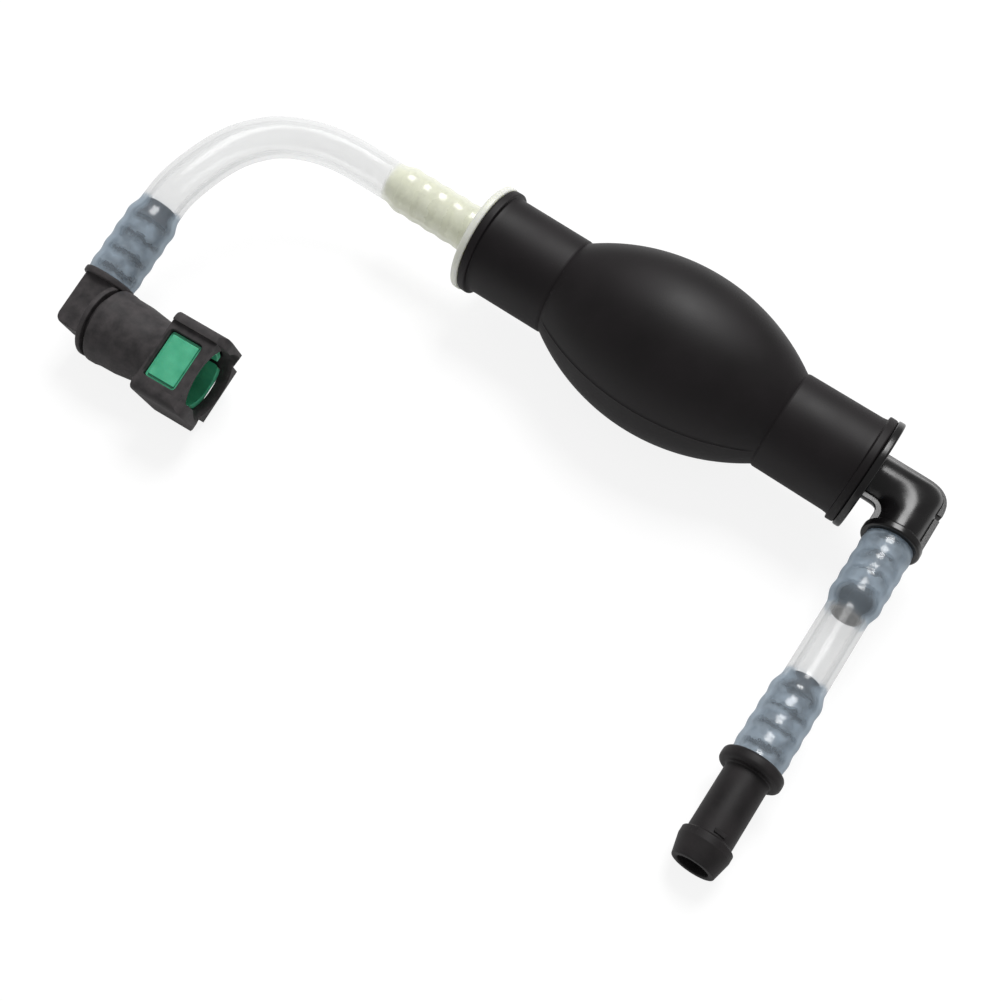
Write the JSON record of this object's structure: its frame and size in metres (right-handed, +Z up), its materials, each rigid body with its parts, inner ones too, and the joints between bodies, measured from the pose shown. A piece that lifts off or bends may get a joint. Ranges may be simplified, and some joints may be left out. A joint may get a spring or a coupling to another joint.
{
  "type": "priming bulb pump",
  "caption": "Hand squeeze bulb pump for a fuel line, with check valves, short clear hoses, a two-button quick connector and a beaded outlet stub.",
  "frame": {"origin": "middle of the bulb, on its axis", "axes": "+X along the bulb from inlet to outlet, +Z up from the surface that the pump lies on, which is 21 mm below the origin"},
  "size_m": [0.1907, 0.1184, 0.0421],
  "materials": {
    "bulb_rubber": "matte moulded rubber",
    "natural_nylon": "natural undyed nylon",
    "valve_plastic": "moulded",
    "seal_rubber": "moulded",
    "spring_steel": "drawn wire",
    "black_nylon": "moulded satin",
    "clear_hose": "translucent extruded tube",
    "ring_rubber": "moulded",
    "green_plastic": "moulded"
  },
  "bodies": {
    "pump": {"bulb": "bulb_rubber", "inlet_valve_body": "natural_nylon", "inlet_cage": "valve_plastic", "inlet_spring": "spring_steel", "outlet_valve_body": "black_nylon", "outlet_seat": "valve_plastic", "outlet_spring": "spring_steel", "inlet_hose": "clear_hose", "outlet_hose": "clear_hose", "outlet_stub": "black_nylon", "connector_body": "black_nylon", "connector_o_rings": "ring_rubber", "connector_spacer": "black_nylon", "connector_bush": "black_nylon"},
    "crown": {"bulb_crown": "bulb_rubber"},
    "inlet_valve": {"inlet_poppet": "valve_plastic", "inlet_poppet_seal": "seal_rubber"},
    "outlet_valve": {"outlet_poppet": "valve_plastic", "outlet_poppet_seal": "seal_rubber"},
    "upper_pad": {"release_pad_upper": "green_plastic"},
    "lower_pad": {"release_pad_lower": "green_plastic"},
    "rear_latch": {"latch_rear": "green_plastic"},
    "front_latch": {"latch_front": "green_plastic"}
  },
  "joints": [
    {"name": "bulb_squeeze", "type": "slide", "parent": "pump", "child": "crown", "axis": [0, 0, -1], "range_m": [0, 0.008], "stiffness_N_per_m": 2500},
    {"name": "inlet_valve_lift", "type": "slide", "parent": "pump", "child": "inlet_valve", "axis": [1, 0, 0], "range_m": [0, 0.002], "stiffness_N_per_m": 60, "deforming": ["inlet_spring"]},
    {"name": "outlet_valve_lift", "type": "slide", "parent": "pump", "child": "outlet_valve", "axis": [1, 0, 0], "range_m": [0, 0.002], "stiffness_N_per_m": 60, "deforming": ["outlet_spring"]},
    {"name": "upper_pad_press", "type": "slide", "parent": "pump", "child": "upper_pad", "axis": [-0.0284, 0.4057, -0.9135], "range_m": [0, 0.0014], "stiffness_N_per_m": 3000},
    {"name": "lower_pad_press", "type": "slide", "parent": "pump", "child": "lower_pad", "axis": [0.0284, -0.4057, 0.9135], "range_m": [0, 0.0014]},
    {"name": "rear_latch_open", "type": "slide", "parent": "pump", "child": "rear_latch", "axis": [-0.0637, 0.9113, 0.4067], "range_m": [0, 0.00084]},
    {"name": "front_latch_open", "type": "slide", "parent": "pump", "child": "front_latch", "axis": [0.0637, -0.9113, -0.4067], "range_m": [0, 0.00084]}
  ],
  "couplings": [
    {"joint": "lower_pad_press", "follows": "upper_pad_press", "ratio": 1},
    {"joint": "rear_latch_open", "follows": "upper_pad_press", "ratio": 0.6},
    {"joint": "front_latch_open", "follows": "upper_pad_press", "ratio": 0.6}
  ]
}
